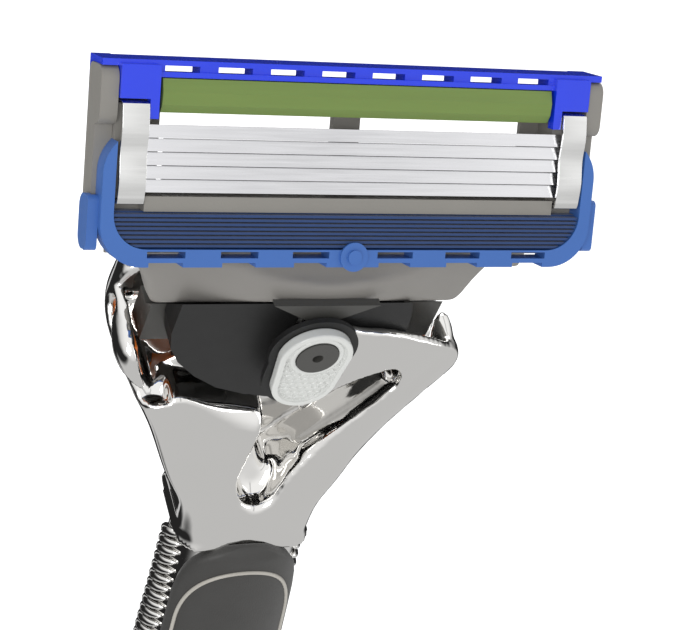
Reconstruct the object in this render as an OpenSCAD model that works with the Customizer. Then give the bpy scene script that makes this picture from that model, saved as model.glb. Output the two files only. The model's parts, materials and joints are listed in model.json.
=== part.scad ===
// Cartridge razor: five sprung blades in a pivoting cartridge, a swivelling ball head and a cast handle.
// +Z runs up the handle, -Y is the side of the blades, and the origin is the centre of the handle's end.

/* [Cartridge] */
// Width of the cartridge over its end plates
cartridge_w = 40; // [39:0.5:41]
// Angle between the blade plane and the handle
face_tilt = 37; // [36:0.5:38]
// Height of the middle of the blades above the handle's end
face_z = 135; // [135:0.1:135.4]
// Distance from one blade to the next
blade_pitch = 0.98; // [0.96:0.01:1]
// Number of fins on the skin guard
fin_count = 8; // [6:1:8]

/* [Head] */
// Height of the swivel axis above the handle's end
swivel_z = 119.4; // [119.4:0.1:119.4]
// Radius of the drum that swivels in the cage
drum_r = 8.4; // [8.2:0.1:8.5]
// Radius of the swivel pin
swivel_pin_r = 1.5; // [1.2:0.1:1.5]
// Radius of the release button's upper end
button_r = 3; // [2.8:0.1:3.2]

/* [Handle] */
// How far the handle bows towards the front
handle_bow = 11.5; // [10.5:0.5:12.5]
// Radius of the flat end that the handle stands on
tail_r = 4.6; // [4.4:0.1:4.6]
// Thickness of the front rubber pad
pad_t = 0.9; // [0.6:0.1:1]
// Number of ribs on each side of the handle
rib_count = 24; // [10:1:26]

/* [Hidden] */
$fn = 48;
half_w = cartridge_w / 2;
end_x = half_w - 1.3;
guard_x = half_w - 0.35;
clip_x = [16.5, 18.5];
blade_x = 17.2;
blade_top = 2.6;
lug_x = [12.9, 14.4];
arm_x = [14.75, 16.25];
end_depth = 3.2;
pivot_y = 3.2;
pivot_z = -5.5;
pivot_r = 0.7;
arm_r = 1.3;
running = 0.05;
window_pitch = 4;
plunger_y = 1.6;
nose_top = 121.8;
cup_r = 8.9;
ear_r = 13.3;
neck_z = 97;
bow_span = 111;
colour_grey = [0.52, 0.52, 0.50];
colour_chrome = [0.80, 0.79, 0.77];
colour_black = [0.06, 0.06, 0.06];
colour_blue = [0.25, 0.42, 0.70];
colour_deep_blue = [0.10, 0.22, 0.42];
colour_rail = [0.05, 0.20, 0.90];
colour_steel = [0.85, 0.85, 0.86];
colour_orange = [0.85, 0.35, 0.05];
colour_rubber = [0.20, 0.20, 0.20];
colour_white = [0.90, 0.90, 0.88];

BLADES = ["blade_1", "blade_2", "blade_3", "blade_4", "blade_5"];

// A rectangle with true round corners
module rounded(x0, y0, x1, y1, r) {
  translate([x0 + r, y0]) square([x1 - x0 - 2 * r, y1 - y0]);
  translate([x0, y0 + r]) square([x1 - x0, y1 - y0 - 2 * r]);
  for (x = [x0 + r, x1 - r], y = [y0 + r, y1 - r]) translate([x, y]) circle(r);
}

// A flat rectangle from two corners
module rect(x0, y0, x1, y1) translate([x0, y0]) square([x1 - x0, y1 - y0]);

// Extrudes a depth and height profile across the width
module across(x0, x1) translate([x0, 0, 0]) rotate([90, 0, 90]) linear_extrude(x1 - x0) children();

// Extrudes a width and height profile from front to back
module through(y0, y1) translate([0, y1, 0]) rotate([90, 0, 0]) linear_extrude(y1 - y0) children();

// A box from two corners
module block(lo, hi) translate(lo) cube(hi - lo);

// Places the cartridge's own frame: X across, Y into its depth, Z up its face
module on_face() translate([0, 0, face_z]) rotate([-face_tilt, 0, 0]) children();

// The same shape on both ends
module both() {
  children();
  mirror([1, 0, 0]) children();
}

module cartridge_frame() color(colour_grey) difference() {
  union() {
    on_face() frame_shell();
    across(-1.3, 1.3) polygon([[-0.3, 130.6], [0.6, 129.25], [3.4, 129.25], [3.4, 130.6], [2.4, 132.0],
      [1.6, 132.0], [1.15, 131.35], [0.37, 131.35]]);
  }
  on_face() translate([-arm_x[1], pivot_y, pivot_z]) rotate([0, 90, 0])
    cylinder(r = pivot_r + running, h = 2 * arm_x[1]);
}

// The frame without the cam that presses on the plunger
module frame_shell() {
  across(-16.4, 16.4) rect(0, -3.65, 2.6, -2.55);
  across(-16.4, 16.4) rect(1.3, 3.3, 3.6, 5.9);
  across(-end_x, end_x) rect(1.25, -6.9, 1.6, -3.6);
  block([-1.1, 3.0, -1.5], [1.1, 3.6, 5.9]);
  both() {
    across(end_x, half_w) rounded(1.25, -6.0, end_depth, 6.6, 0.7);
    across(end_x, half_w) rounded(0.2, 2.4, end_depth, 6.6, 0.9);
    across(16.2, end_x - 0.02) rect(0.75, -2.85, 3.3, 4.0);
    across(16.2, end_x + 0.1) rect(1.3, -2.85, 3.3, 4.0);
    across(16.2, end_x + 0.1) rect(1.3, -3.65, 2.6, -3.3);
    across(16.2, end_x + 0.1) rect(1.3, 4.4, 3.6, 5.9);
    across(14.6, 16.3) rect(3.1, -2.7, 3.5, 3.4);
    across(lug_x[0], lug_x[1]) rect(1.25, -5.5, pivot_y, -3.4);
    translate([lug_x[0], pivot_y, pivot_z]) rotate([0, 90, 0]) cylinder(r = 1.7, h = lug_x[1] - lug_x[0]);
  }
}

module guard_frame() color(colour_blue) on_face() {
  through(-0.35, 1.24) difference() {
    rounded(-guard_x, -7.65, guard_x, 2.3, 3.2);
    rounded(-end_x, -6.35, end_x, 6, 2.6);
    both() for (i = [0 : 2]) translate([3.4 + 5.6 * i, 0]) {
      rect(-1.45, -6.98, 1.45, -6.5);
      rect(-1.3, -8, 1.3, -7.32);
    }
  }
  both() {
    across(guard_x - 0.02, half_w + 0.45) rounded(0.3, -6.6, 1.2, -2.6, 0.44);
    across(half_w + 0.04, half_w + 0.45) rounded(0.3, -6.6, 2.4, -2.6, 1.0);
  }
  translate([0, -0.35, -6.85]) rotate([90, 0, 0]) cylinder(r = 1.1, h = 0.2);
  translate([0, -0.35, -6.85]) rotate([90, 0, 0]) cylinder(r = 0.55, h = 0.4);
}

module fin_outline() intersection() {
  rounded(-end_x + 0.05, -6.3, end_x - 0.05, -1, 2.55);
  rect(-half_w, -7, half_w, -3.68);
}

module skin_guard() color(colour_deep_blue) on_face() {
  through(0.4, 1.22) fin_outline();
  through(-0.25, 0.41) intersection() {
    fin_outline();
    for (i = [0 : fin_count - 1]) translate([0, -3.9 - i * 0.315]) rect(-half_w, -0.09, half_w, 0.09);
  }
}

module lube_strip() color([0.42, 0.51, 0.23]) on_face() across(-15.5, 15.5)
  polygon([[1.28, 3.4], [0.45, 3.4], [0.05, 4.0], [-0.05, 4.9], [0.25, 5.85], [1.28, 5.85]]);

module cap_rail() color(colour_rail) on_face() {
  across(-end_x + 0.05, end_x - 0.05) rect(0.5, 6.72, 3.2, 7.1);
  across(-15.8, 15.8) rect(0.3, 5.92, 0.9, 6.3);
  both() across(end_x - 0.2, half_w - 0.1) rect(0.5, 6.62, end_depth + 0.35, 7.1);
  both() across(end_x + 0.15, half_w - 0.1) rect(end_depth + 0.03, 4.2, end_depth + 0.35, 7.1);
  both() {
    across(15.75, 16.42) rect(-0.1, 3.0, 0.73, 5.95);
    across(16.4, end_x - 0.05) rect(-0.1, 4.4, 1.25, 6.8);
    across(15.75, 16.42) rect(-0.1, 5.9, 1.25, 6.8);
  }
  for (x = [-4 : 4]) across(x * window_pitch - 0.7, x * window_pitch + 0.7) rect(0.5, 5.92, 2.2, 6.8);
}

module clip() on_face() {
  across(clip_x[0], clip_x[1]) rounded(-0.45, -3.2, -0.2, 4.3, 0.12);
  across(clip_x[0], clip_x[1]) rect(-0.3, 4.08, 3.75, 4.3);
  across(clip_x[0], clip_x[1]) rect(-0.3, -3.2, 3.75, -2.98);
  across(clip_x[0], clip_x[1]) rect(3.55, 2.2, 3.75, 4.2);
  across(clip_x[0], clip_x[1]) rect(3.55, -3.1, 3.75, -1.2);
}
module clip_right() color(colour_steel) clip();
module clip_left() color(colour_steel) mirror([1, 0, 0]) clip();

module trimmer_guard() color(colour_blue) on_face() across(-15, 15)
  polygon([[3.62, 3.5], [4.5, 3.9], [4.5, 4.9], [3.62, 5.0]]);
module trimmer_blade() color(colour_steel) on_face() across(-14.5, 14.5)
  polygon([[3.62, 5.05], [4.9, 5.15], [3.62, 5.25]]);

// One blade on its bent support, counted from the cap
module blade(i) color(colour_steel) on_face() translate([0, 0, blade_top - blade_pitch * (i - 0.5)]) {
  across(-blade_x, blade_x) polygon([[-0.02, -0.45], [0.26, 0.44], [0.36, 0.42], [0.14, -0.40]]);
  across(-14.4, 14.4) rect(0.18, -0.11, 2.6, 0.11);
}

// The yoke's outline from the front
module yoke_outline() through(-6, 4)
  polygon(mirrored([[11.4, 114], [12, 118.7], [12.4, 120], [13.2, 121.2], [13.7, 122.2], [14, 123.2],
    [14.9, 124.3], [16.6, 125.6], [18, 127]]));

// The yoke's bowed front in plan
module yoke_plan() linear_extrude(200)
  polygon(concat([for (x = [-18 : 1.5 : 18]) [x, -3.4 + 3.1 * pow(x / 15.3, 2)]],
    [[18, 4], [-18, 4]]));

module yoke() color(colour_grey) {
  difference() {
    union() {
      intersection() {
        yoke_outline();
        yoke_plan();
        across(-18, 18) polygon([[-3.6, 127], [-2.6, 127], [-2.3, 126.4], [2.6, 126.4], [2.6, 118.7],
          [0.6, 118.7], [-3.6, 123.52]]);
      }
      block([-8, 2.5, nose_top + 0.2], [8, 3.8, 126.4]);
    }
    block([-7.8, -2.8, 110], [7.8, 2.6, nose_top + 0.2]);
    block([-1.4, -2.05, 121], [1.4, -0.7, 123.6]);
    translate([0, plunger_y, 122.6]) cylinder(r = 1.5, h = 3.3);
    translate([0, plunger_y, 122.6]) cylinder(r = 0.97, h = 10);
  }
  difference() {
    both() {
      block([arm_x[0], -2.0, 126], [arm_x[1], 0.5, 128.7]);
      yoke_pivot() translate([0, 0, arm_x[0]]) cylinder(r = arm_r, h = arm_x[1] - arm_x[0]);
    }
    yoke_pivot() translate([0, 0, -half_w]) cylinder(r = pivot_r, h = cartridge_w);
  }
}

module yoke_tongue() color([0.25, 0.25, 0.24]) through(-4.1, -3.4)
  polygon([[-4.4, 123.7], [4.4, 123.7], [0.3, 121.4], [-0.3, 121.4]]);

// The cartridge's pivot axis, with Z along X
module yoke_pivot() on_face() translate([0, pivot_y, pivot_z]) rotate([0, 90, 0]) children();

module pivot_pins() color(colour_steel) both() yoke_pivot()
  translate([0, 0, lug_x[0] - 0.3]) cylinder(r = pivot_r, h = arm_x[1] - lug_x[0] + 0.3);

module plunger() color(colour_white) translate([0, plunger_y, 0]) {
  translate([0, 0, 125.4]) cylinder(r = 0.9, h = 3.75);
  translate([0, 0, 125.35]) cylinder(r = 1.4, h = 0.45);
}

// A coil spring's envelope as a plain tube
module spring_tube(z0, z1, r) translate([0, 0, z0]) difference() {
  cylinder(r = r, h = z1 - z0);
  translate([0, 0, -1]) cylinder(r = r - 0.25, h = z1 - z0 + 2);
}
module plunger_spring() color(colour_steel) translate([0, plunger_y, 0]) spring_tube(122.6, 125.35, 1.35);
module ejector_spring() color(colour_steel) translate([0, -2.45, 0]) spring_tube(119.0, 121.1, 0.5);

module ejector() color(colour_white) block([-1.2, -1.85, 119.0], [1.2, -0.9, nose_top - 0.1]);

// What lies under the sloping lower edge of the yoke, from the side
module under_yoke(back_top) polygon([[-3, 105], [-3, 122.68], [0.6, 118.55], [2.75, 118.55], [2.75, back_top],
  [6, back_top], [6, 105]]);

module ball_core() color(colour_black) difference() {
  union() {
    intersection() {
      translate([0, 6, swivel_z]) rotate([90, 0, 0]) cylinder(r = drum_r, h = 9);
      across(-13, 13) under_yoke(nose_top);
    }
    block([-7.6, -2.6, 117], [7.6, 2.4, nose_top]);
    intersection() {
      through(-3, -0.6) polygon([[-11.2, 124], [-11.2, 119.2], [-10.8, 117.4], [-9.8, 115.7], [-8, 113.9],
        [-5.8, 112.4], [-3, 111.4], [0, 112], [0, 124]]);
      across(-13, 13) under_yoke(nose_top);
    }
    translate([0, 6, swivel_z]) rotate([90, 0, 0]) cylinder(r = 3.4, h = 2);
  }
  translate([0, 20, swivel_z]) rotate([90, 0, 0]) cylinder(r = swivel_pin_r + running, h = 19.9);
  block([-1.35, -5, 117.2], [1.35, -0.7, 121.1]);
  block([-1.35, -2.0, 117.2], [1.35, -0.7, 126]);
}

module shoulder() difference() {
  intersection() {
    block([6, -0.4, 115.4], [12.3, 2.4, 122]);
    across(0, 13) under_yoke(118.55);
  }
  translate([0, 6, swivel_z]) rotate([90, 0, 0]) cylinder(r = drum_r, h = 9);
}
module shoulder_right() color(colour_rubber) shoulder();
module shoulder_left() color(colour_rubber) mirror([1, 0, 0]) shoulder();

// The egg outline of the release button
module egg(grow) {
  translate([0, swivel_z - 0.3]) circle(button_r + grow);
  translate([0, swivel_z - 3.4]) circle(button_r - 0.3 + grow);
  translate([0, swivel_z - 1.85]) square([2 * (button_r + grow) - 0.5, 3], center = true);
}
module release_button() color([0.82, 0.83, 0.82]) difference() {
  through(-5.8, -4.9) egg(0);
  translate([0, 0, swivel_z]) rotate([90, 0, 0]) cylinder(r = 1.75, h = 10);
}
module button_base() color(colour_black) {
  through(-4.9, -4.45) egg(0.6);
  block([-1.0, -4.5, 117.4], [1.0, -1.85, 119.0]);
}
module button_insert() color([0.16, 0.16, 0.16]) difference() {
  about_swivel(1.7, -5.85, -4.9);
  about_swivel(0.44, -6, -5.3);
}

// One half of the cage's outline from the front
CAGE_EDGE = [[5.7, neck_z], [6.3, 100], [8, 102.6], [10, 108], [13, 112.2], [15.2, 115.5], [14.6, 118],
  [13.3, 120.1], [9, 122.6], [4, 123.8]];
// One half of the cage's outline from above
CAGE_PLAN = [[15.4, -9], [15.4, 0.5], [13.4, 4.7], [11, 8], [7, 10.4], [3, 11.1]];
function mirrored(points) =
  concat(points, [for (i = [len(points) - 1 : -1 : 0]) [-points[i][0], points[i][1]]]);

// A cylinder about the swivel axis between two depths
module about_swivel(r, y0, y1) translate([0, y1, swivel_z]) rotate([90, 0, 0]) cylinder(r = r, h = y1 - y0);

// The part of a cylinder about the swivel axis above a slope on each side
module swept(r, y0, y1, drop) intersection() {
  about_swivel(r, y0, y1);
  through(y0 - 1, y1 + 1) translate([0, swivel_z])
    polygon([[0, 0], [20, -drop], [20, 20], [-20, 20], [-20, -drop]]);
}

// The broad leaf that reaches over the drum from the right side
module front_leaf() through(-4.3, -3.2) difference() {
  polygon([[2.4, 120.4], [7, 119.8], [10.4, 118.4], [12.6, 117.3], [14.2, 115.8], [14.4, 114.2], [13, 112.2],
    [10, 108], [7.6, 103.5], [3.6, 104.2], [1.6, 108.6], [1.4, 110.4], [2.2, 114]]);
  leaf_slot();
}
module leaf_slot()
  polygon([[8.6, 112.8], [5, 108.4], [2.6, 105.6], [1, 109.8], [5.6, 114.2], [7.4, 114.6], [8.6, 114]]);

// The cup that holds the drum, open to the front on the left
module cage_cup() difference() {
  intersection() {
    through(-12, 14) polygon(mirrored(CAGE_EDGE));
    linear_extrude(200) polygon(mirrored(CAGE_PLAN));
    across(-20, 20) polygon([[-8.2, neck_z], [-7.9, 99], [-6.6, 103], [-4.6, 107], [-3.7, 112], [-2.7, 116],
      [1.4, 118.5], [3.2, 120.1], [7.5, 124], [10.5, 124], [11.2, 120], [10.6, 114], [8.6, 108], [4.5, 102.5],
      [1, 99], [-0.2, neck_z]]);
  }
  about_swivel(cup_r, -20, 6.6);
  about_swivel(cup_r + 0.5, 0.95, 5.05);
  swept(ear_r, -20, 3, 16);
  swept(ear_r + 0.6, -20, 3, 3.4);
  swept(ear_r + 1.4, -20, 3, 1.5);
  swept(ear_r + 0.5, -2.05, 3.05, 11);
  about_swivel(swivel_pin_r, 0, 14);
  through(-20, 2) leaf_slot();
  block([-10.8, -20, 109.6], [1, -0.5, 116]);
  for (m = [0, 1]) mirror([m, 0, 0]) block([10, -1.0, 112.8], [17, 2.2, 116.2]);
  through(-20, 0.5) polygon([[-2.4, 112], [3.4, 112], [1.4, 98.8], [-1.4, 98.8]]);
}
module cage() color(colour_chrome) {
  cage_cup();
  front_leaf();
}

module swivel_pin() color(colour_steel) about_swivel(swivel_pin_r, 0.6, 11.15);

module liner() difference() {
  intersection() {
    swept(ear_r + 0.45, -2, 3, 10.8);
    block([10, -3, 112], [17, 4, 116.4]);
  }
  about_swivel(ear_r + 0.05, -10, 10);
}
module liner_right() color(colour_orange) liner();
module liner_left() color(colour_orange) mirror([1, 0, 0]) liner();
module liner_cup() color(colour_orange) intersection() {
  difference() {
    about_swivel(cup_r + 0.45, 1, 5);
    about_swivel(cup_r + 0.05, -2, 6);
  }
  union() {
    block([-8, -5, 105], [-4, 6, 113.5]);
    block([4, -5, 105], [8, 6, 113.5]);
  }
}
module centering_spring() color(colour_steel) difference() {
  about_swivel(2.9, 6.15, 6.6);
  about_swivel(swivel_pin_r + 0.1, 6, 7);
}

// The handle's line bows towards the front; half width and half depth change along it
function bow(z) = -handle_bow * sin(180 * z / bow_span);
function half_x(z) = lookup(z, [[0, tail_r], [6, 5.5], [30, 6.3], [60, 6.0], [85, 6.1], [neck_z, 5.7]]);
function half_y(z) = lookup(z, [[0, tail_r], [6, 4.9], [30, 5.4], [60, 5.0], [85, 4.4], [neck_z, 4.0]]);
function rim(z, a, out) = [(half_x(z) + out) * sin(a), bow(z) - (half_y(z) + out) * cos(a), z];
SIDE_STEP = 7.5;

// A solid through equal rings of points, closed by its two end rings
module loft(rings) {
  n = len(rings[0]);
  m = len(rings);
  polyhedron([for (r = rings, p = r) p], concat(
    [[for (k = [0 : n - 1]) k]],
    [for (j = [0 : m - 2], k = [0 : n - 1]) let (a = j * n, b = a + n, next = (k + 1) % n)
      [a + k, b + k, b + next, a + next]],
    [[for (k = [n - 1 : -1 : 0]) (m - 1) * n + k]]), convexity = 6);
}

module handle_core() color(colour_chrome)
  loft([for (z = [1.2, each [6 : 6 : 90], neck_z]) [for (a = [0 : SIDE_STEP : 359]) rim(z, -a, 0)]]);

// A pad that covers the handle's surface from one angle to another
module pad(a0, a1, t) loft([for (z = [12 : 6 : 90])
  let (grow = t * min(1, 0.3 + min(z - 12, 90 - z) / 10))
  concat([for (a = [a1 : -SIDE_STEP : a0]) rim(z, a, grow)],
    [for (a = [a0 : SIDE_STEP : a1]) rim(z, a, 0)])]);
module grip_front() color(colour_rubber) pad(-52.5, 52.5, pad_t);
module grip_back() color(colour_rubber) pad(127.5, 232.5, pad_t - 0.2);

// A row of half-round ribs along one side of the handle
module ribs() for (i = [0 : rib_count - 1]) let (z = 94 - i * 3.2)
  translate([half_x(z) + 0.02, bow(z) + 2.2, z]) rotate([90, 0, 0]) intersection() {
    cylinder(r = 0.9, h = 4.4);
    block([0, -2, -1], [2, 2, 8]);
  }
module ribs_right() color(colour_chrome) ribs();
module ribs_left() color(colour_chrome) mirror([1, 0, 0]) ribs();

module tail_cap() color(colour_chrome) translate([0, bow(0), 0]) cylinder(r = tail_r, h = 1.2);

cartridge_frame();
guard_frame();
skin_guard();
lube_strip();
cap_rail();
clip_left();
clip_right();
trimmer_guard();
trimmer_blade();
blade(1);  // blade_1
blade(2);  // blade_2
blade(3);  // blade_3
blade(4);  // blade_4
blade(5);  // blade_5
yoke();
yoke_tongue();
pivot_pins();
plunger();
plunger_spring();
ball_core();
shoulder_left();
shoulder_right();
ejector();
ejector_spring();
release_button();
button_base();
button_insert();
cage();
swivel_pin();
liner_left();
liner_right();
liner_cup();
centering_spring();
handle_core();
grip_front();
grip_back();
ribs_left();
ribs_right();
tail_cap();
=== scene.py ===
"""A cartridge razor: its looks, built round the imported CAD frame."""

import json
import math

import bmesh
import bpy
import numpy as np
from mathutils import Matrix, Vector


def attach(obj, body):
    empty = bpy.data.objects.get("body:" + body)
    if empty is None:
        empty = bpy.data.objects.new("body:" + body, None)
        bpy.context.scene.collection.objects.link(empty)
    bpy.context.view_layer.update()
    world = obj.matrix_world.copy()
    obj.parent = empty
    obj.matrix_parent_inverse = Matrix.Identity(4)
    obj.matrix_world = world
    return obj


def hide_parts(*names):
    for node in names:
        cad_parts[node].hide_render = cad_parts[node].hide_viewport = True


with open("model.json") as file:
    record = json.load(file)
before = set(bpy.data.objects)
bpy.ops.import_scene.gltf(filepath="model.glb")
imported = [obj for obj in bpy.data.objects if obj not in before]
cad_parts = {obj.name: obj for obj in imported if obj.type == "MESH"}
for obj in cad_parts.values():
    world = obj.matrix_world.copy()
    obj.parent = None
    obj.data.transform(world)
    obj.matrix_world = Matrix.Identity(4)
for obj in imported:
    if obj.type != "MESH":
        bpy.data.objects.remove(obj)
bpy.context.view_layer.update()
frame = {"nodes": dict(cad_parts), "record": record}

MM = 0.001
# Places are in millimetres in the row's frame, with z up the handle.
TILT = math.radians(37)
SWIVEL_Z = 119.4
FACE_Z = 135.0
PIN_Y = -0.7543
PIN_Z = 128.68
NECK_Z = 97.0
BOW_DEPTH = 11.5
BOW_LENGTH = 111
SECTION_Z = [0, 6, 30, 60, 85, 97]
SECTION_X = [4.6, 5.5, 6.3, 6.0, 6.1, 5.7]
SECTION_Y = [4.6, 4.9, 5.4, 5.0, 4.4, 4.0]
AMBIENT = 0.55
EDGE_WIDTH = 0.05


# ---------------------------------------------------------------- camera, light and stage


def make_camera():
    """The camera looks down on the blades from the front left."""
    right = Vector((0.91932, -0.25804, 0.29710)).normalized()
    back = Vector((-0.39339, -0.58389, 0.71016)).normalized()
    up = back.cross(right).normalized()
    right = up.cross(back).normalized()
    data = bpy.data.cameras.new("camera")
    data.lens = 116.44
    data.sensor_width = 36
    data.clip_start = 0.005
    cam = bpy.data.objects.new("camera", data)
    bpy.context.collection.objects.link(cam)
    turn = Matrix((right, up, back)).transposed()
    place = Vector((-65.10, -102.67, 242.48)) * MM
    cam.matrix_world = Matrix.Translation(place) @ turn.to_4x4()
    bpy.context.scene.camera = cam


def area_light(name, place, size, power, target=(0, 0, 0.12)):
    """A white rectangular lamp that points at the target. Places and sizes are in metres."""
    data = bpy.data.lights.new(name, "AREA")
    data.shape = "RECTANGLE"
    data.size, data.size_y = size
    data.energy = power
    lamp = bpy.data.objects.new(name, data)
    bpy.context.collection.objects.link(lamp)
    lamp.location = place
    lamp.rotation_euler = (Vector(place) - Vector(target)).to_track_quat("Z", "Y").to_euler()


def math_node(tree, operation, *values):
    """A math node that takes sockets or numbers."""
    made = tree.nodes.new("ShaderNodeMath")
    made.operation = operation
    for socket, value in zip(made.inputs, values):
        if isinstance(value, bpy.types.NodeSocket):
            tree.links.new(value, socket)
        else:
            socket.default_value = value
    return made.outputs[0]


def ramp_between(tree, value, start, end):
    """0 before start, 1 after end, and smooth between."""
    made = tree.nodes.new("ShaderNodeMapRange")
    made.interpolation_type = "SMOOTHSTEP"
    tree.links.new(value, made.inputs["Value"])
    made.inputs["From Min"].default_value = start
    made.inputs["From Max"].default_value = end
    return made.outputs["Result"]


def band_between(tree, value, rise, fall):
    """1 between two smooth edges and 0 outside them. An edge is (where it is 0, where it is 1)."""
    return math_node(tree, "MULTIPLY", ramp_between(tree, value, *rise), ramp_between(tree, value, *fall))


def studio_reflection(tree):
    """What polished metal mirrors: a tent that brightens upwards, with a grey card high on the right, and
    below it dark flags behind and at the left, with a bright strip across the one behind."""
    coords = tree.nodes.new("ShaderNodeTexCoord")
    axes = tree.nodes.new("ShaderNodeSeparateXYZ")
    tree.links.new(coords.outputs["Generated"], axes.inputs[0])
    x, y, z = axes.outputs
    low = ramp_between(tree, z, 0.25, -0.15)
    behind = math_node(tree, "MULTIPLY", ramp_between(tree, y, 0.02, 0.34), low)
    left = math_node(tree, "MULTIPLY", ramp_between(tree, x, -0.45, -0.75), low)
    dark = math_node(tree, "MAXIMUM", behind, left)
    strip = band_between(tree, x, (-0.22, -0.17), (-0.05, -0.10))
    strip = math_node(tree, "MULTIPLY", strip, low)
    dark = math_node(tree, "MULTIPLY", dark, math_node(tree, "SUBTRACT", 1.0, strip))
    card = band_between(tree, x, (0.31, 0.37), (0.47, 0.38))
    card = math_node(tree, "MULTIPLY", card, ramp_between(tree, z, 0.35, 0.6))
    bright = math_node(tree, "MULTIPLY_ADD", ramp_between(tree, z, -0.1, 0.7), 0.45, 0.62)
    bright = math_node(tree, "MULTIPLY", bright, math_node(tree, "MULTIPLY_ADD", card, -0.45, 1.0))
    return math_node(tree, "MULTIPLY", bright, math_node(tree, "MULTIPLY_ADD", dark, -0.965, 1.0))


def make_studio():
    """The surroundings differ by kind of ray: white to the camera, even to matte skin, a studio to metal."""
    world = bpy.data.worlds.new("studio")
    bpy.context.scene.world = world
    world.use_nodes = True
    tree = world.node_tree
    back = tree.nodes["Background"]
    back.inputs["Color"].default_value = (1, 1, 1, 1)
    path = tree.nodes.new("ShaderNodeLightPath")
    glossy = math_node(tree, "MULTIPLY", path.outputs["Is Glossy Ray"], studio_reflection(tree))
    diffuse = math_node(tree, "MULTIPLY", path.outputs["Is Diffuse Ray"], AMBIENT)
    seen = math_node(tree, "ADD", path.outputs["Is Camera Ray"], path.outputs["Is Transmission Ray"])
    total = math_node(tree, "ADD", math_node(tree, "ADD", glossy, diffuse), seen)
    tree.links.new(total, back.inputs["Strength"])
    area_light("key", (-0.25, -0.30, 0.42), (0.30, 0.22), 1.15)
    area_light("side", (0.42, -0.12, 0.30), (0.12, 0.35), 0.35)
    area_light("behind", (0.05, 0.38, 0.30), (0.35, 0.20), 0.5)
    bpy.context.scene.view_settings.view_transform = "Standard"


def make_floor():
    """A plain pale floor, kept out of the mirror images."""
    mesh = bpy.data.meshes.new("floor")
    half = 3.0
    corners = [(-half, -half, 0), (half, -half, 0), (half, half, 0), (-half, half, 0)]
    mesh.from_pydata(corners, [], [(0, 1, 2, 3)])
    floor = bpy.data.objects.new("floor", mesh)
    bpy.context.collection.objects.link(floor)
    mat = bpy.data.materials.new("floor")
    mat.use_nodes = True
    shader = mat.node_tree.nodes["Principled BSDF"]
    shader.inputs["Base Color"].default_value = (0.95, 0.95, 0.95, 1)
    shader.inputs["Roughness"].default_value = 0.9
    shader.inputs["Emission Color"].default_value = (1, 1, 1, 1)
    shader.inputs["Emission Strength"].default_value = 0.45
    mesh.materials.append(mat)
    floor.visible_glossy = False


# ---------------------------------------------------------------- materials


class Shader:
    """A principled material with procedural colour, roughness and bump in object coordinates."""

    def __init__(self, name, colour, rough, metal=0.0):
        self.mat = bpy.data.materials.new(name)
        self.mat.use_nodes = True
        self.tree = self.mat.node_tree
        self.out = self.tree.nodes["Principled BSDF"]
        self.out.inputs["Base Color"].default_value = (*colour, 1)
        self.out.inputs["Roughness"].default_value = rough
        self.out.inputs["Metallic"].default_value = metal
        self.colour = colour
        self.rough = rough
        coords = self.tree.nodes.new("ShaderNodeTexCoord")
        self.where = coords.outputs["Object"]

    def node(self, kind, **inputs):
        """A node whose inputs are given by name, as sockets or numbers."""
        made = self.tree.nodes.new(kind)
        for name, value in inputs.items():
            socket = made.inputs[name.replace("_", " ")]
            if isinstance(value, bpy.types.NodeSocket):
                self.tree.links.new(value, socket)
            else:
                socket.default_value = value
        return made

    def noise(self, scale, stretch=(1, 1, 1), detail=4.0):
        """A noise factor in object coordinates."""
        mapping = self.node("ShaderNodeMapping", Vector=self.where)
        mapping.inputs["Scale"].default_value = stretch
        made = self.node("ShaderNodeTexNoise", Vector=mapping.outputs[0])
        made.inputs["Scale"].default_value = scale
        made.inputs["Detail"].default_value = detail
        return made.outputs[0]

    def vary_colour(self, factor, amount):
        """Lets the colour run from darker to lighter by a share of itself."""
        dark = tuple(c * (1 - amount) for c in self.colour)
        light = tuple(min(1, c * (1 + amount)) for c in self.colour)
        mix = self.tree.nodes.new("ShaderNodeMix")
        mix.data_type = "RGBA"
        self.tree.links.new(factor, mix.inputs["Factor"])
        mix.inputs[6].default_value = (*dark, 1)
        mix.inputs[7].default_value = (*light, 1)
        self.tree.links.new(mix.outputs[2], self.out.inputs["Base Color"])
        return self

    def vary_rough(self, factor, amount):
        """Lets the roughness run by an amount each way."""
        scaled = math_node(self.tree, "MULTIPLY", factor, amount * 2)
        moved = math_node(self.tree, "ADD", scaled, max(0.0, self.rough - amount))
        self.tree.links.new(moved, self.out.inputs["Roughness"])
        return self

    def bump(self, height, depth):
        """Fine relief, with its depth in metres."""
        made = self.node("ShaderNodeBump", Height=height)
        made.inputs["Distance"].default_value = depth
        made.inputs["Strength"].default_value = 0.6
        self.tree.links.new(made.outputs[0], self.out.inputs["Normal"])
        return self


def moulded(name, colour, rough, coat=0.0):
    """Moulded plastic with a fine spark-eroded grain and faint flow marks."""
    s = Shader(name, colour, rough)
    s.vary_colour(s.noise(260), 0.06).vary_rough(s.noise(900), 0.05)
    s.bump(s.noise(9000, detail=2.0), 0.000012)
    s.out.inputs["Coat Weight"].default_value = coat
    s.out.inputs["Coat Roughness"].default_value = 0.08
    return s.mat


def brushed(name, colour, rough, stretch):
    """Metal with a fine grain drawn out along one axis."""
    s = Shader(name, colour, rough, metal=1.0)
    grain = s.noise(5000, stretch, detail=3.0)
    s.vary_colour(grain, 0.05).vary_rough(grain, 0.07).bump(grain, 0.000004)
    return s.mat


def plated(name):
    """Bright chrome plating with very faint waviness and handling haze."""
    s = Shader(name, (0.80, 0.79, 0.77), 0.05, metal=1.0)
    s.vary_rough(s.noise(160), 0.035).vary_colour(s.noise(120), 0.015).bump(s.noise(400), 0.000008)
    return s.mat


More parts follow.
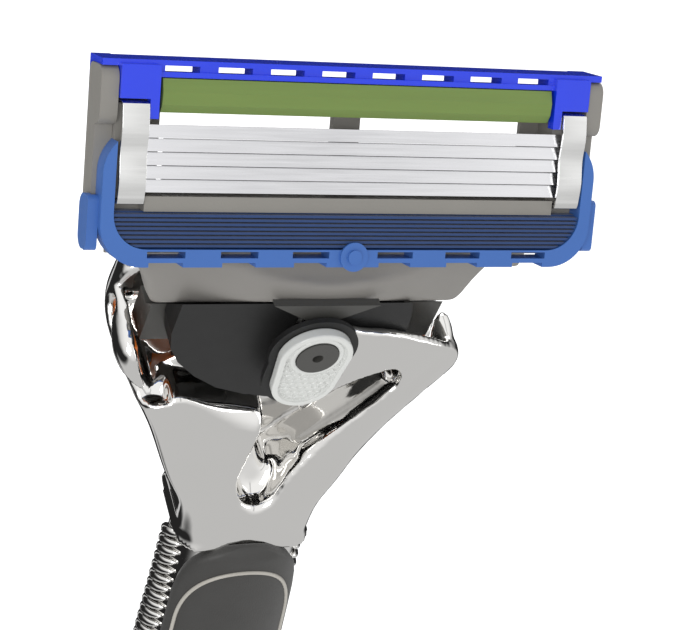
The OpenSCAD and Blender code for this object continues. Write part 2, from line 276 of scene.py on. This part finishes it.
def rubber(name, colour):
    """Soft moulded elastomer with a matte, slightly pebbled skin."""
    s = Shader(name, colour, 0.55)
    s.vary_colour(s.noise(500), 0.15).vary_rough(s.noise(1500), 0.08).bump(s.noise(7000), 0.00003)
    s.out.inputs["Sheen Weight"].default_value = 0.15
    return s.mat


def waxy_strip(name):
    """The lubricating strip: a waxy polymer with a faint lengthwise grain."""
    s = Shader(name, (0.150, 0.225, 0.052), 0.5)
    grain = s.noise(1500, (0.08, 1, 1))
    s.vary_colour(grain, 0.10).vary_rough(s.noise(800), 0.08).bump(grain, 0.00001)
    s.out.inputs["Subsurface Weight"].default_value = 0.08
    s.out.inputs["Subsurface Scale"].default_value = 0.0005
    return s.mat


def make_materials():
    """The material of each slot, by the slot's name."""
    return {
        "frame_grey": moulded("frame_grey", (0.235, 0.225, 0.205), 0.34),
        "guard_blue": moulded("guard_blue", (0.045, 0.135, 0.42), 0.36),
        # The fins are the same blue elastomer as guard_blue, coloured much darker here as painted shade
        # between the fins.
        "fin_rubber": rubber("fin_rubber", (0.006, 0.035, 0.135)),
        "strip_green": waxy_strip("strip_green"),
        "rail_blue": moulded("rail_blue", (0.004, 0.035, 0.72), 0.22, coat=0.5),
        "clip_steel": brushed("clip_steel", (0.78, 0.78, 0.77), 0.24, (0.05, 1, 1)),
        "blade_steel": brushed("blade_steel", (0.80, 0.80, 0.82), 0.20, (0.04, 1, 1)),
        "yoke_grey": moulded("yoke_grey", (0.215, 0.205, 0.190), 0.40),
        "dark_grey": moulded("dark_grey", (0.055, 0.054, 0.050), 0.42),
        "ball_black": moulded("ball_black", (0.009, 0.009, 0.009), 0.5),
        "button_silver": moulded("button_silver", (0.60, 0.61, 0.59), 0.30, coat=0.3),
        "white_acetal": moulded("white_acetal", (0.72, 0.72, 0.69), 0.4),
        "spring_steel": brushed("spring_steel", (0.55, 0.55, 0.56), 0.25, (1, 1, 0.1)),
        "chrome": plated("chrome"),
        "orange_liner": moulded("orange_liner", (0.60, 0.14, 0.01), 0.3),
        "grip_rubber": rubber("grip_rubber", (0.035, 0.034, 0.032)),
        "piping": moulded("piping", (0.42, 0.40, 0.36), 0.35),
    }


def dress_cad():
    """Gives every CAD node its slot's material, and soft edges where it stays in view."""
    slot_of = {part["node"]: part["material_slot"] for part in frame["record"]["subparts"]}
    for name, obj in frame["nodes"].items():
        mat = MATERIALS[slot_of[name]]
        obj.data.materials.clear()
        obj.data.materials.append(mat)
        if not name.startswith(("blade", "trimmer")):
            soften(obj, EDGE_WIDTH)


def soften(obj, width_mm):
    """Rounds the sharp edges with a narrow bevel."""
    bevel = obj.modifiers.new("edges", "BEVEL")
    bevel.width = width_mm * MM
    bevel.segments = 2
    bevel.limit_method = "ANGLE"
    bevel.angle_limit = math.radians(35)
    bevel.harden_normals = True


# ---------------------------------------------------------------- mesh helpers


def add_piece(name, verts, faces, slot, body, smooth=True, replaces=()):
    """A new piece from points in millimetres, which rides on a body and may replace CAD nodes."""
    mesh = bpy.data.meshes.new(name)
    points = [tuple(float(c) * MM for c in v) for v in verts]
    mesh.from_pydata(points, [], [tuple(int(i) for i in f) for f in faces])
    mesh.validate()
    obj = bpy.data.objects.new(name, mesh)
    bpy.context.collection.objects.link(obj)
    mesh.materials.append(MATERIALS[slot])
    bm = bmesh.new()
    bm.from_mesh(mesh)
    bmesh.ops.recalc_face_normals(bm, faces=bm.faces)
    bm.to_mesh(mesh)
    bm.free()
    for poly in mesh.polygons:
        poly.use_smooth = smooth
    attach(obj, body)
    if replaces:
        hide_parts(*replaces)
    return obj


def spline(points, steps):
    """Closed Catmull-Rom curve through points, with some steps from each point to the next."""
    pts = np.array(points, float)
    count = len(pts)
    out = []
    for i in range(count):
        p0, p1, p2, p3 = (pts[(i + k) % count] for k in (-1, 0, 1, 2))
        for s in range(steps):
            t = s / steps
            out.append(0.5 * (2 * p1 + (p2 - p0) * t + (2 * p0 - 5 * p1 + 4 * p2 - p3) * t * t
                              + (3 * p1 - p0 - 3 * p2 + p3) * t ** 3))
    return np.array(out)


def signed_distance(outline, u, v):
    """Distance from grid points (u, v) to a closed outline, negative inside."""
    a = np.array(outline)
    b = np.roll(a, -1, axis=0)
    best = np.full(u.shape, 1e9)
    inside = np.zeros(u.shape, bool)
    for (ax, ay), (bx, by) in zip(a, b):
        dx, dy = bx - ax, by - ay
        t = np.clip(((u - ax) * dx + (v - ay) * dy) / max(dx * dx + dy * dy, 1e-12), 0, 1)
        best = np.minimum(best, (u - ax - t * dx) ** 2 + (v - ay - t * dy) ** 2)
        if ay != by:
            inside ^= ((ay > v) != (by > v)) & (u < (bx - ax) * (v - ay) / (by - ay) + ax)
    return np.where(inside, -1, 1) * np.sqrt(best)


def mirrored(half):
    """A closed outline from the points of its right half."""
    return half + [(-x, z) for x, z in reversed(half)]


def smooth_max(a, b, k):
    """The larger of two fields, blended over a width k where they are nearly equal."""
    h = np.clip(0.5 + 0.5 * (a - b) / k, 0, 1)
    return b + (a - b) * h + k * h * (1 - h)


def smooth_min(a, b, k):
    """The smaller of two fields, blended in the same way."""
    return -smooth_max(-a, -b, k)


def cells_beside(crossed, axis, shape):
    """The four cells round each crossed grid edge, one after another, and whether they are in the grid."""
    j, k = (axis + 1) % 3, (axis + 2) % 3
    for dj, dk in ((0, 0), (-1, 0), (-1, -1), (0, -1)):
        cell = crossed.copy()
        cell[:, j] += dj
        cell[:, k] += dk
        yield cell, ((cell >= 0) & (cell < shape)).all(axis=1)


def surface_of(field, low, step):
    """Vertices and quads of the zero surface of a sampled field, one vertex in each crossed cell."""
    shape = np.array(field.shape) - 1
    total = np.zeros((*shape, 3))
    count = np.zeros(shape)
    inside = field < 0
    quads = []
    crossings = []
    for axis in range(3):
        lo = [slice(None)] * 3
        hi = [slice(None)] * 3
        lo[axis], hi[axis] = slice(0, -1), slice(1, None)
        fa, fb = field[tuple(lo)], field[tuple(hi)]
        crossed = np.argwhere(inside[tuple(lo)] != inside[tuple(hi)])
        a = fa[tuple(crossed.T)]
        b = fb[tuple(crossed.T)]
        points = crossed.astype(float)
        points[:, axis] += a / (a - b)
        for cell, ok in cells_beside(crossed, axis, shape):
            np.add.at(total, tuple(cell[ok].T), points[ok])
            np.add.at(count, tuple(cell[ok].T), 1)
        crossings.append((axis, crossed, a < 0))
    index = np.full(shape, -1)
    used = np.argwhere(count > 0)
    index[tuple(used.T)] = np.arange(len(used))
    verts = total[tuple(used.T)] / count[tuple(used.T)][:, None] * step + np.array(low)
    for axis, crossed, flip in crossings:
        corners = []
        for cell, ok in cells_beside(crossed, axis, shape):
            ids = np.where(ok, index[tuple(np.clip(cell, 0, shape - 1).T)], -1)
            corners.append(ids)
        quad = np.stack(corners, axis=1)
        quad[~flip] = quad[~flip][:, ::-1]
        quads.append(quad[(quad >= 0).all(axis=1)])
    return verts, np.concatenate(quads)


def relax(verts, quads, rounds):
    """Laplacian smoothing without shrinking: each round moves in and then back out."""
    edges = np.concatenate([quads[:, [i, (i + 1) % 4]] for i in range(4)])
    degree = np.bincount(edges.ravel(), minlength=len(verts))[:, None]
    for amount in [0.55, -0.57] * rounds:
        total = np.zeros_like(verts)
        np.add.at(total, edges[:, 0], verts[edges[:, 1]])
        np.add.at(total, edges[:, 1], verts[edges[:, 0]])
        verts = verts + amount * (total / np.maximum(degree, 1) - verts)
    return verts


def field_mesh(field, low, high, step, rounds):
    """Smoothed vertices and quads of the zero surface of a field function inside a box."""
    axes = [np.arange(a, b, step) for a, b in zip(low, high)]
    verts, quads = surface_of(field(*np.meshgrid(*axes, indexing="ij")), low, step)
    return relax(verts, quads, rounds), quads


# ---------------------------------------------------------------- the chrome cage

CAGE_EDGE = [(5.7, 95.5), (5.75, 97.5), (6.3, 100), (7.9, 102.8), (10.2, 107.6), (13, 112.2), (15.0, 115.3),
             (14.7, 117.6), (13.3, 120.1), (9, 122.6), (3, 123.6)]
CAGE_SIDE = [(-8.1, 95.5), (-7.7, 98), (-6.7, 101), (-5.3, 105), (-4.3, 109), (-3.5, 113), (-2.5, 116.2),
             (1.4, 118.6), (3.6, 120.6), (7.5, 123.7), (10.2, 123.6), (11.0, 120), (10.5, 114), (8.5, 108),
             (4.5, 102.5), (1.2, 99), (-0.1, 95.5)]
LEAF = [(2.3, 120.3), (4.6, 120.3), (7.2, 119.8), (10.4, 118.5), (12.8, 117.2), (14.3, 115.9), (14.3, 114.2),
        (13, 112.3), (10.2, 108.2), (7.8, 104), (4.2, 104), (1.6, 108.6), (1.3, 111), (1.6, 116)]
SLOT = [(9.6, 113.4), (8.6, 111.3), (6.0, 108.0), (3.4, 104.9), (1.4, 102.4), (0.2, 104.0), (0.2, 108.0),
        (2.2, 111.3), (5.2, 114.0), (8.4, 115.2)]
NOTCH = [(0, 100.6), (1.3, 101.3), (1.9, 103.0), (1.7, 105.5), (1.2, 108), (0.8, 112), (-0.6, 112),
         (-0.8, 108.6), (-1.4, 105.5), (-1.9, 103.0), (-1.3, 101.3)]


def cage_field(x, y, z):
    """Signed distance of the cage: a deep cup with an open left front and a broad leaf on the right."""
    u, w = x[:, 0, :], z[:, 0, :]
    front = signed_distance(spline(mirrored(CAGE_EDGE), 6), u, w)[:, None, :]
    side = signed_distance(spline(CAGE_SIDE, 5), y[0, :, :], z[0, :, :])[None, :, :]
    plan = (np.abs(x) / 15.4) ** 2.6 + (np.maximum(y + 1, 0) / 12.1) ** 2.2
    plan = (plan ** 0.42 - 1) * 12
    solid = smooth_max(smooth_max(front, side, 2.4), plan, 2.0)
    rise = z - SWIVEL_Z
    radius = np.sqrt(x ** 2 + rise ** 2)
    flare = 2.3 * np.clip((-1 - y) / 3.5, 0, 1) ** 1.5
    drum = np.maximum(radius - 8.95 - flare, y - 6.6)
    ears = np.maximum(np.maximum(radius - 13.4, y - 3.1), -(rise + 0.78 * np.abs(x)) * 0.79)
    upper = np.maximum(np.maximum(radius - 14.5, y - 3.1), -(rise + 0.12 * np.abs(x)))
    cavity = smooth_min(smooth_min(drum, ears, 0.6), upper, 0.4)
    dish = 110.2 - 0.28 * (x + 2.5) - z
    open_front = np.maximum(np.maximum(x - 0.5, -10.6 - x), np.maximum(y + 0.4, dish))
    cavity = smooth_min(cavity, open_front, 1.2)
    low_ear = np.maximum(np.maximum(9.0 - x, y - 2.4), 116.6 - z)
    cavity = smooth_min(cavity, low_ear, 0.8)
    solid = smooth_max(solid, -cavity, 0.5)
    slot = np.maximum(signed_distance(spline(SLOT, 5), u, w)[:, None, :], y + 0.2)
    solid = smooth_max(solid, -slot, 0.35)
    floor = (y + 4.9 - (z - 100.6) * 0.7) * 0.8
    notch = smooth_max(signed_distance(spline(NOTCH, 5), u, w)[:, None, :], floor, 0.8)
    solid = smooth_max(solid, -notch, 0.6)
    along = np.clip(((y - 2.3) * -5.0 + (z - 116.2) * -4.6) / (5.0 ** 2 + 4.6 ** 2), 0, 1)
    window = np.sqrt((y - 2.3 + 5.0 * along) ** 2 + (z - 116.2 + 4.6 * along) ** 2) - 0.85
    solid = smooth_max(solid, -np.maximum(window, 9.5 - np.abs(x)), 0.5)
    leaf = signed_distance(spline(LEAF, 5), u, w)[:, None, :]
    leaf = smooth_max(leaf, -signed_distance(spline(SLOT, 5), u, w)[:, None, :], 0.6)
    middle = -3.78 + 1.25 * (np.maximum(x - 3, 0) / 11) ** 2
    leaf = smooth_max(leaf, np.abs(y - middle) - 0.5, 0.45)
    return np.maximum(smooth_min(solid, leaf, 0.9), NECK_Z - 0.4 - z)


def make_cage():
    step = 0.27
    verts, quads = field_mesh(cage_field, (-16.5, -9.2, 93.8), (16.5, 12.2, 125.2), step, 4)
    return add_piece("cage_casting", verts, quads, "chrome", "handle", replaces=["cage"])


# ---------------------------------------------------------------- clips, yoke, liner and button


def on_face(x, depth, up):
    """A point in the row's frame, from its depth under the blade plane and its height along that plane."""
    cos, sin = math.cos(TILT), math.sin(TILT)
    return (x, depth * cos + up * sin, FACE_Z - depth * sin + up * cos)


def make_clip(name, node, side):
    """A bent metal clip with a shallow wave along its face."""
    thick = 0.22
    inner, outer = 16.5, 18.5
    crown, crown_edge = -0.02, 0.06
    hooks = [(3.7, 4.22), (1.2, 4.22), (0.1, 4.2), (-0.25, 4.08)]
    heels = [(-0.2, -3.08), (0.1, -3.14), (1.2, -3.14), (3.7, -3.14)]
    face = [(-0.42 + 0.09 * math.cos(2 * math.pi * t * 2.0), 4.12 - 7.16 * t)
            for t in np.linspace(0.04, 0.96, 45)]
    path = hooks + face + heels
    section = [(inner, 0), (inner + crown_edge, crown), (outer - crown_edge, crown), (outer, 0),
               (outer, 1), (inner, 1)]
    count = len(path)
    verts = []
    for i, (depth, up) in enumerate(path):
        ahead, behind = path[min(i + 1, count - 1)], path[max(i - 1, 0)]
        du, dv = ahead[0] - behind[0], ahead[1] - behind[1]
        size = math.hypot(du, dv)
        inward = (-dv / size * thick, du / size * thick)
        for x, share in section:
            verts.append(on_face(side * x, depth + inward[0] * share, up + inward[1] * share))
    clip = add_piece(name, verts, tube_faces(count, len(section)), "clip_steel", "cartridge", replaces=[node])
    soften(clip, 0.03)
    return clip


YOKE_EDGE = [(11.6, 118.2), (12.0, 119.2), (12.7, 120.4), (13.4, 121.6), (13.8, 122.8), (14.6, 124.1),
             (16.4, 125.5), (17.7, 126.7), (17.0, 126.95)]


def yoke_field(x, y, z):
    """Signed distance of the yoke: a bowed front, a wide top, a sloping lower edge and a scooped brow."""
    u, w = x[:, 0, :], z[:, 0, :]
    solid = signed_distance(mirrored(YOKE_EDGE), u, w)[:, None, :]
    front = -3.4 + 3.1 * (np.abs(x) / 15.3) ** 2 - y
    solid = smooth_max(solid, front, 0.7)
    solid = smooth_max(solid, y - 2.55, 0.4)
    slope = (122.9 - z - (y + 3.0) * 1.17) * 0.65
    solid = smooth_max(solid, slope, 0.35)
    brow = np.sqrt((x / 9.6) ** 2 + ((y + 4.2) / 2.6) ** 2 + ((z - 127.6) / 2.6) ** 2) * 2.4 - 2.4
    solid = smooth_max(solid, -brow, 0.25)
    hollow = np.maximum(np.maximum(np.abs(x) - 7.8, z - 122.0), np.maximum(y - 2.62, -2.85 - y))
    back = np.maximum(np.maximum(np.abs(x) - 8.0, np.abs(y - 3.15) - 0.62), np.abs(z - 124.2) - 2.17)
    solid = np.maximum(smooth_min(solid, back, 0.3), -hollow)
    slot = np.maximum(np.maximum(np.abs(x) - 1.4, np.abs(y + 1.375) - 0.675), z - 123.6)
    bore = np.hypot(x, y - 1.6)
    bore = np.maximum(np.minimum(bore - 1.0, np.maximum(bore - 1.5, z - 125.9)), 122.6 - z)
    solid = np.maximum(solid, -np.minimum(slot, bore))
    arm_wall = np.abs(np.abs(x) - 15.5) - 0.75
    arm = np.maximum(arm_wall, np.maximum(np.abs(y + 0.75) - 1.25, np.abs(z - 127.2) - 1.5))
    eye = np.maximum(np.hypot(y - PIN_Y, z - PIN_Z) - 1.3, arm_wall)
    return smooth_min(solid, np.minimum(arm, eye), 0.3)


def make_right_liner():
    """The right liner: a thin curved plate that stays below the leaf's upper edge."""
    inner, outer, front, back = 13.4, 13.7, 0.0, 2.8
    angles = np.radians(np.linspace(57.5, 69, 12))
    verts = [(r * math.sin(a), y, SWIVEL_Z - r * math.cos(a)) for a in angles
             for r, y in ((inner, front), (outer, front), (outer, back), (inner, back))]
    return add_piece("liner_right_plate", verts, tube_faces(len(angles), 4), "orange_liner", "handle",
                     smooth=False, replaces=["liner_right"])


def hex_distance(u, v, pitch):
    """Distance past the wall of the nearest cell of a honeycomb, negative inside a cell."""
    best = np.full(u.shape, 1e9)
    tall = pitch * math.sqrt(3)
    for shift in (0, 0.5):
        a = u / pitch - shift
        b = v / tall - shift
        a = (a - np.round(a)) * pitch
        b = (b - np.round(b)) * tall
        slant = np.abs(a) / 2 + np.abs(b) * math.sqrt(3) / 2
        best = np.minimum(best, np.maximum(np.abs(a), slant))
    return best - pitch / 2


def button_field(x, y, z):
    """Signed distance of the release button: an egg with a raised rim, a collar and a honeycomb field."""
    v = z - SWIVEL_Z
    share = np.clip((-0.3 - v) / 3.1, 0, 1)
    egg = np.hypot(x, v + 0.3 + 3.1 * share) - (2.98 - 0.3 * share)
    ring = np.hypot(x, v)
    solid = smooth_max(egg, np.abs(y + 5.34) - 0.44, 0.18)
    solid = smooth_max(solid, -np.maximum(egg + 0.5, y + 5.62), 0.05)
    solid = smooth_min(solid, smooth_max(ring - 2.15, np.abs(y + 5.32) - 0.42, 0.08), 0.05)
    cells = np.maximum(hex_distance(x, v, 0.62) + 0.05, np.maximum(egg + 0.58, 2.22 - ring))
    solid = smooth_max(solid, -np.maximum(np.maximum(cells, v + 0.2), y + 5.48), 0.03)
    return np.maximum(solid, 1.74 - ring)


def make_button():
    step = 0.06
    verts, quads = field_mesh(button_field, (-3.3, -6.0, 112.4), (3.3, -4.7, 122.4), step, 1)
    return add_piece("button_shell", verts, quads, "button_silver", "button", replaces=["release_button"])


def make_yoke():
    step = 0.25
    verts, quads = field_mesh(yoke_field, (-19, -4.6, 116.6), (19, 4.6, 130.6), step, 3)
    return add_piece("yoke_body_shell", verts, quads, "yoke_grey", "yoke_body", replaces=["yoke"])


# ---------------------------------------------------------------- the handle


def bow(z):
    """How far the handle's middle line stands back at a height."""
    return -BOW_DEPTH * np.sin(np.radians(180 * z / BOW_LENGTH))


def rim(z, angle, out):
    """A point past the handle's oval section, at an angle in degrees from the front."""
    a = math.radians(angle)
    half_x = np.interp(z, SECTION_Z, SECTION_X)
    half_y = np.interp(z, SECTION_Z, SECTION_Y)
    return ((half_x + out) * math.sin(a), bow(z) - (half_y + out) * math.cos(a), z)


def tube_faces(rings, sides, close=True):
    """Faces of a tube of rings of points, with an end face at both ends if it is closed off."""
    pairs = [(k, (k + 1) % sides) for k in range(sides)]
    starts = [i * sides for i in range(rings - 1)]
    faces = [(a + k, a + sides + k, a + sides + m, a + m) for a in starts for k, m in pairs]
    if close:
        faces += [tuple(range(sides)), tuple(range((rings - 1) * sides, rings * sides))]
    return faces


def make_handle_core():
    """The plated core, with a waist that runs into the cage."""
    sides, rings = 64, 90
    heights = np.linspace(1.1, NECK_Z + 0.2, rings)
    verts = [rim(z, 360 * k / sides, -0.03) for z in heights for k in range(sides)]
    faces = tube_faces(rings, sides)
    return add_piece("handle_casting", verts, faces, "chrome", "handle", replaces=["handle_core"])


def make_end_cap():
    """The flat end with a rounded edge and a shallow ring."""
    profile = [(0.0, 0.0), (3.2, 0.0), (3.35, 0.12), (3.55, 0.12), (3.7, 0.0), (4.2, 0.0), (4.5, 0.15),
               (4.6, 0.5), (4.6, 1.15), (0.0, 1.15)]
    sides, least = 64, 0.001
    turns = [2 * math.pi * k / sides for k in range(sides)]
    verts = [(max(r, least) * math.cos(a), max(r, least) * math.sin(a), z) for r, z in profile for a in turns]
    faces = tube_faces(len(profile), sides)
    return add_piece("handle_end", verts, faces, "chrome", "handle", replaces=["tail_cap"])


def pad_limits(z, low, high, spread):
    """Half angle of a grip pad at one height: an arch at each end."""
    near = min(z - low, high - z)
    round_off = 6.0
    t = max(0.0, min(1.0, near / round_off))
    return spread * math.sqrt(max(0.0, 1 - (1 - t) ** 2))


def make_grip(name, node, centre, spread, low, high, thick):
    """A rubber pad with arched ends, a crowned face and a rolled edge, sunk a little into the core."""
    sunk, roll_angle, roll_height = -0.12, 9, 1.2
    ends = np.concatenate([np.linspace(low + 0.01, low + 3, 16), np.linspace(low + 3.4, high - 3.4, 70),
                           np.linspace(high - 3, high - 0.01, 16)])
    across = np.linspace(-1, 1, 33)
    outer, under = [], []
    for z in ends:
        limit = pad_limits(z, low, high, spread)
        edge_z = min(1.0, min(z - low, high - z) / roll_height)
        for s in across:
            edge = min(1.0, (1 - abs(s)) * max(limit, 1) / roll_angle)
            roll = math.sqrt(max(0.0, 1 - (1 - min(edge, edge_z)) ** 2))
            outer.append(rim(z, centre + s * limit, thick * roll))
            under.append(rim(z, centre + s * limit, sunk))
    n = len(across)
    rows = len(ends)
    faces = []
    for i in range(rows - 1):
        for k in range(n - 1):
            a = i * n + k
            faces.append((a, a + 1, a + n + 1, a + n))
            faces.append((a + rows * n, a + n + rows * n, a + n + 1 + rows * n, a + 1 + rows * n))
    for i in range(rows - 1):
        for a in (i * n, i * n + n - 1):
            faces.append((a, a + n, a + n + rows * n, a + rows * n))
    for k in range(n - 1):
        for a in (k, (rows - 1) * n + k):
            faces.append((a, a + 1, a + 1 + rows * n, a + rows * n))
    return add_piece(name, outer + under, faces, "grip_rubber", "handle", replaces=[node])


def make_piping():
    """The light line that follows the front pad, set in from its edge."""
    low, high, spread = 14.5, 95.6, 47.0
    steps = 120
    heights = [low + (high - low) * (1 - math.cos(math.pi * i / steps)) / 2 for i in range(steps + 1)]
    path = [(z, pad_limits(z, low, high, spread)) for z in heights]
    path += [(z, -a) for z, a in reversed(path[1:-1])]
    centre = [Vector(rim(z, a, 0.86)) for z, a in path]
    return add_piece("grip_piping", *sweep(centre, 0.17, closed=True), "piping", "handle")


def sweep(centre, radius, closed=False, sides=8):
    """A round bead along a path."""
    count = len(centre)
    verts = []
    for i, p in enumerate(centre):
        ahead = centre[(i + 1) % count] if closed or i < count - 1 else p
        behind = centre[i - 1] if closed or i else p
        along = (ahead - behind).normalized()
        side = along.cross(Vector((0.3, 1, 0.1))).normalized()
        up = side.cross(along).normalized()
        r = radius(i / (count - 1)) if callable(radius) else radius
        verts += [p + r * (math.cos(2 * math.pi * k / sides) * side + math.sin(2 * math.pi * k / sides) * up)
                  for k in range(sides)]
    faces = tube_faces(count, sides, close=not closed)
    if closed:
        last = (count - 1) * sides
        faces += [(last + k, k, (k + 1) % sides, last + (k + 1) % sides) for k in range(sides)]
    return [tuple(v) for v in verts], faces


def make_ribs(side, node):
    """Rope-like slanting ribs along one side of the handle."""
    count, top, pitch = 84, 95.4, 0.95
    half_width, rise = 27, 1.3
    verts, faces = [], []
    for i in range(count):
        z = top - i * pitch
        path = []
        for t in np.linspace(-1, 1, 9):
            angle = 90 + half_width * t
            path.append(Vector(rim(z - rise * t, angle, 0.02 + 0.16 * (1 - t * t))))
        if side < 0:
            path = [Vector((-p.x, p.y, p.z)) for p in path]
        v, f = sweep(path, lambda t: 0.12 + 0.32 * math.sin(math.pi * t) ** 0.7, sides=10)
        faces += [tuple(k + len(verts) for k in face) for face in f]
        verts += v
    return add_piece(node.replace("ribs", "rope_ribs"), verts, faces, "chrome", "handle", replaces=[node])


MATERIALS = make_materials()

make_camera()
make_studio()
make_floor()
dress_cad()
make_cage()
make_clip("clip_bent_left", "clip_left", -1)
make_clip("clip_bent_right", "clip_right", 1)
make_yoke()
make_button()
make_right_liner()
make_handle_core()
make_end_cap()
make_grip("front_grip", "grip_front", centre=0, spread=61, low=12.5, high=97.6, thick=0.85)
make_grip("back_grip", "grip_back", centre=180, spread=48, low=12.5, high=90, thick=0.65)
make_piping()
make_ribs(1, "ribs_right")
make_ribs(-1, "ribs_left")
